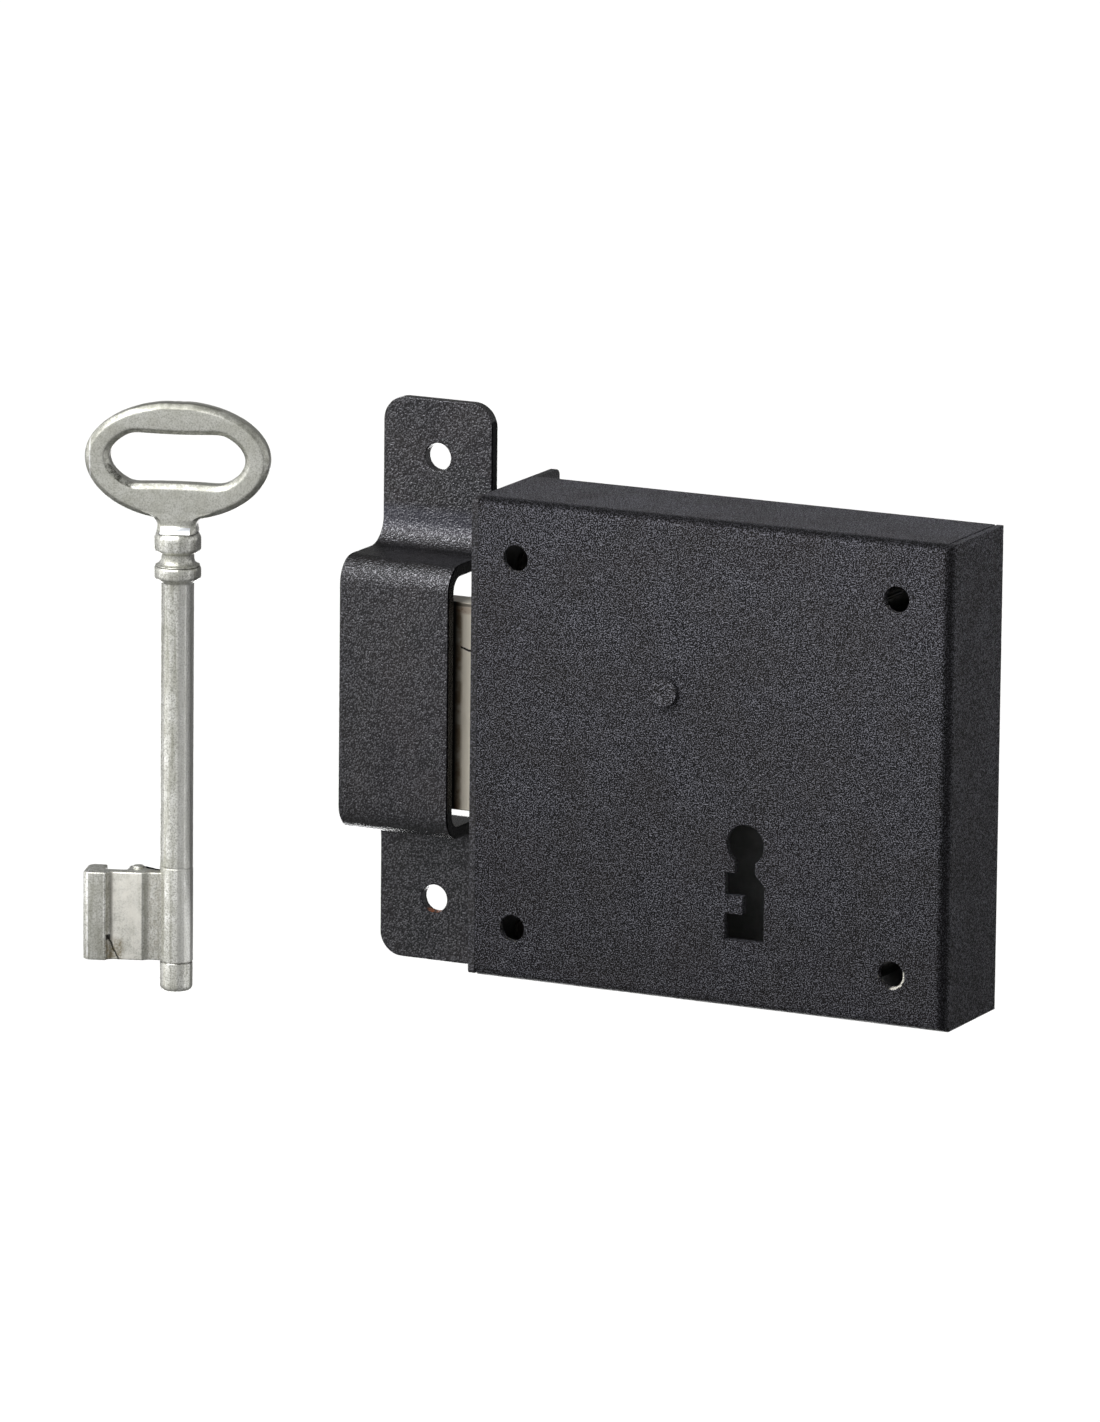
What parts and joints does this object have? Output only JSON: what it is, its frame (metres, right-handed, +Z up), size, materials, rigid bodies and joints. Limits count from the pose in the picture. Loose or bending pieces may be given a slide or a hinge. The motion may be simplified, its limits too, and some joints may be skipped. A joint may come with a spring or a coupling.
{
  "type": "rim box lock",
  "caption": "Rim box lock: folded black case with a deadbolt thrown into a strap keeper on the frame, and its long key with an oval bow standing beside it.",
  "frame": {"origin": "centre of the case's four screw holes, on the plane of the door's face", "axes": "+Z up, +Y into the door, +X away from the door's closing edge; the bolt is thrown along -X"},
  "size_m": [0.1783, 0.0751, 0.123],
  "materials": {
    "cover_coat": "textured black powder coat",
    "forend_coat": "fine textured black powder coat",
    "keeper_coat": "hammered charcoal coat",
    "bolt_steel": "tarnished rolled steel",
    "stud_coat": "textured black powder coat over a riveted end",
    "plate_steel": "zinc-plated sheet",
    "turned_steel": "turned steel",
    "rivet_steel": "plain steel",
    "screw_zinc": "bright zinc",
    "tumbler_steel": "blanked steel",
    "spring_steel": "blued spring steel",
    "key_casting": "satin nickel-plated casting"
  },
  "bodies": {
    "lock_case": {"cover": "cover_coat", "back_plate": "plate_steel", "forend": "forend_coat", "upper_angle": "plate_steel", "lower_angle": "plate_steel", "forend_rivets": "rivet_steel", "plate_rivets": "rivet_steel", "pillars": "turned_steel", "back_screws": "screw_zinc", "guide_stud": "stud_coat", "guide_sleeve": "turned_steel", "tumbler_post": "turned_steel", "retaining_ring": "spring_steel", "stop_peg": "turned_steel", "spring_post": "turned_steel", "locking_spring": "spring_steel", "keeper": "keeper_coat"},
    "bolt": {"bolt": "bolt_steel"},
    "tumbler": {"tumbler": "tumbler_steel"},
    "key": {"key": "key_casting"}
  },
  "joints": [
    {"name": "key_turn", "type": "hinge", "parent": "lock_case", "child": "key", "pos_m": [-0.105, -0.0533, -0.0525], "axis": [0, 0, -1], "range_deg": [0, 360]},
    {"name": "bolt_slide", "type": "slide", "parent": "lock_case", "child": "bolt", "axis": [1, 0, 0], "range_m": [0, 0.02], "deforming": ["locking_spring"]},
    {"name": "tumbler_lift", "type": "hinge", "parent": "lock_case", "child": "tumbler", "pos_m": [0.0395, -0.017, -0.0115], "axis": [0, 1, 0], "range_deg": [0, 7], "stiffness_Nm_per_rad": 0.2, "springref_deg": -8.59, "deforming": ["locking_spring"]}
  ],
  "couplings": [
    {"joint": "key_turn", "follows": "bolt_slide", "rad_per_m": 314.16}
  ]
}
